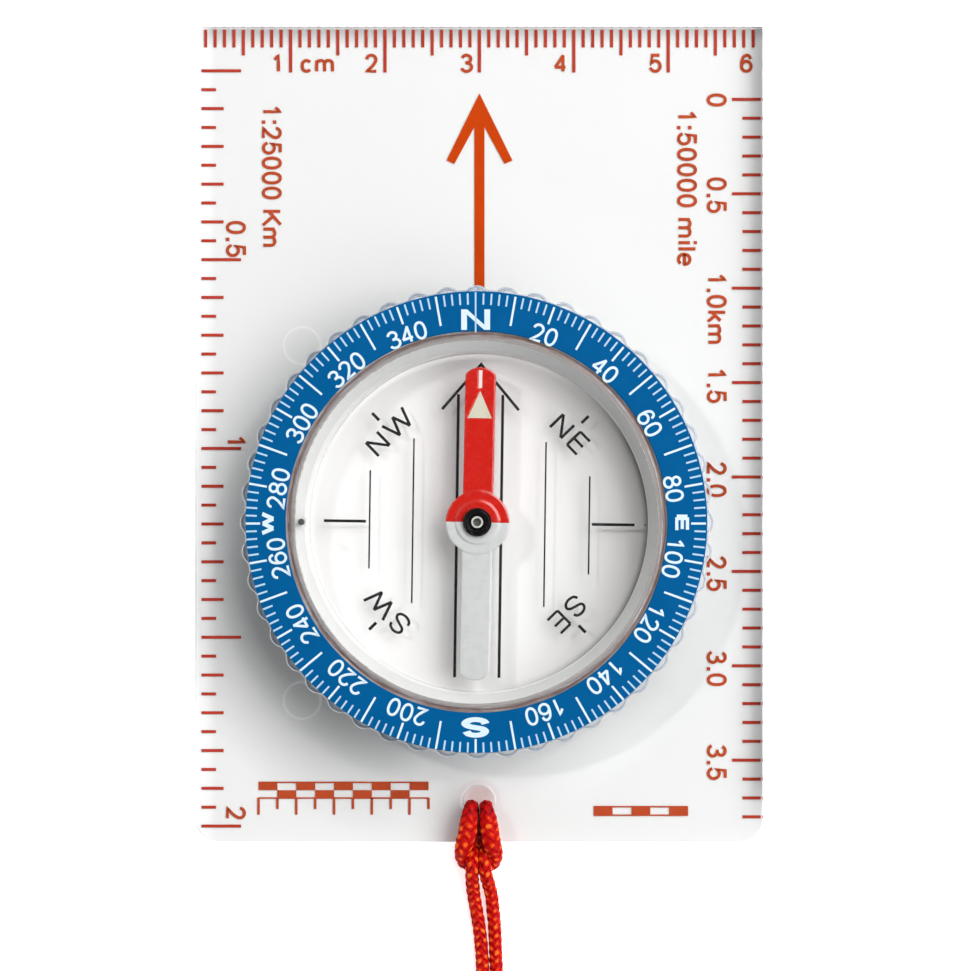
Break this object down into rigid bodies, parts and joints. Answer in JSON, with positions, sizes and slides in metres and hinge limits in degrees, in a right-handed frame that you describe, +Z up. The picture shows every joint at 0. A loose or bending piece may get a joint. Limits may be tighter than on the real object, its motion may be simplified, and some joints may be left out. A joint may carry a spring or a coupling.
{
  "type": "baseplate compass",
  "caption": "Clear baseplate compass with a turning scalloped degree dial, a liquid-type capsule with a two-colour needle, printed-scale edges and a braided cord lanyard.",
  "frame": {"origin": "dial axis at the plane of the baseplate's underside", "axes": "+Z up out of the dial, +Y along the direction-of-travel arrow, +X to the right"},
  "size_m": [0.06, 0.1484, 0.0076],
  "materials": {
    "clear_acrylic": "clear moulded acrylic, polished",
    "clear_bezel": "clear moulded acrylic, scalloped",
    "clear_capsule": "clear polycarbonate, polished",
    "dial_blue": "satin blue moulded plastic",
    "seal_brown": "grey-brown elastic seal",
    "plug_grey": "dark elastomer",
    "ring_nylon": "natural nylon",
    "ring_rubber": "black rubber",
    "seat_brass": "turned brass",
    "pin_steel": "hardened, ground",
    "magnet_steel": "plain magnet steel",
    "needle_red": "glossy red plastic",
    "needle_grey": "pale translucent grey plastic",
    "cup_metal": "turned, bright",
    "jewel": "polished synthetic stone",
    "cap_black": "glossy black plastic",
    "lume_cream": "cream luminous paint fill",
    "index_white": "white paint fill",
    "cord_red": "braided polyester cord"
  },
  "bodies": {
    "plate": {"baseplate": "clear_acrylic", "lanyard_hitch": "cord_red"},
    "dial": {"dial_bezel": "clear_bezel", "degree_ring": "dial_blue", "capsule_seal": "seal_brown", "capsule_base": "clear_capsule", "capsule_lens": "clear_capsule", "fill_plug": "plug_grey", "retaining_ring": "ring_nylon", "friction_ring": "ring_rubber", "pivot_seat": "seat_brass", "pivot_pin": "pin_steel"},
    "needle": {"needle_magnet": "magnet_steel", "needle_north": "needle_red", "needle_south": "needle_grey", "jewel_cup": "cup_metal", "jewel_bearing": "jewel", "hub_cap": "cap_black", "lume_triangle": "lume_cream", "north_index": "index_white"},
    "cord": {"lanyard_loop": "cord_red"}
  },
  "joints": [
    {"name": "dial_turn", "type": "hinge", "parent": "plate", "child": "dial", "pos_m": [0, 0, 0.0026], "axis": [0, 0, 1], "continuous": true},
    {"name": "needle_turn", "type": "hinge", "parent": "dial", "child": "needle", "pos_m": [0, 0, 0.00442], "axis": [0, 0, 1], "continuous": true},
    {"name": "lanyard_swing", "type": "hinge", "parent": "plate", "child": "cord", "pos_m": [0, -0.0392, 0.00075], "axis": [0, 0, 1], "range_deg": [-60, 60]}
  ]
}
